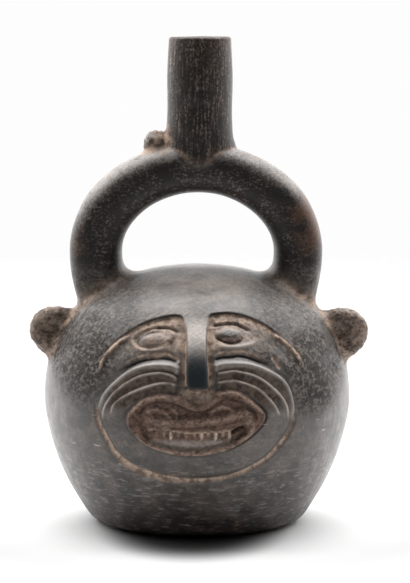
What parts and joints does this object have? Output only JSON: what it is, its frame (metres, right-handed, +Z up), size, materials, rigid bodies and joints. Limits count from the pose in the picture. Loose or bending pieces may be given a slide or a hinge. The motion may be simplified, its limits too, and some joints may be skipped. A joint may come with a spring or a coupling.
{
  "type": "stirrup spout vessel",
  "caption": "Hollow black clay vessel with a round body, a whiskered animal face, small ears, and a stirrup-shaped tube that carries an upright spout.",
  "frame": {"origin": "middle of the flat resting base, on the surface it stands on", "axes": "+Z up along the body and spout, the face looks towards -Y, +X is the viewer's right when facing it"},
  "size_m": [0.1528, 0.1421, 0.22],
  "materials": {
    "blackware": "burnished reduced-fired clay, semi-gloss, with pale brown earth in the grooves and seams"
  },
  "bodies": {
    "root": {"vessel": "blackware"}
  },
  "joints": []
}
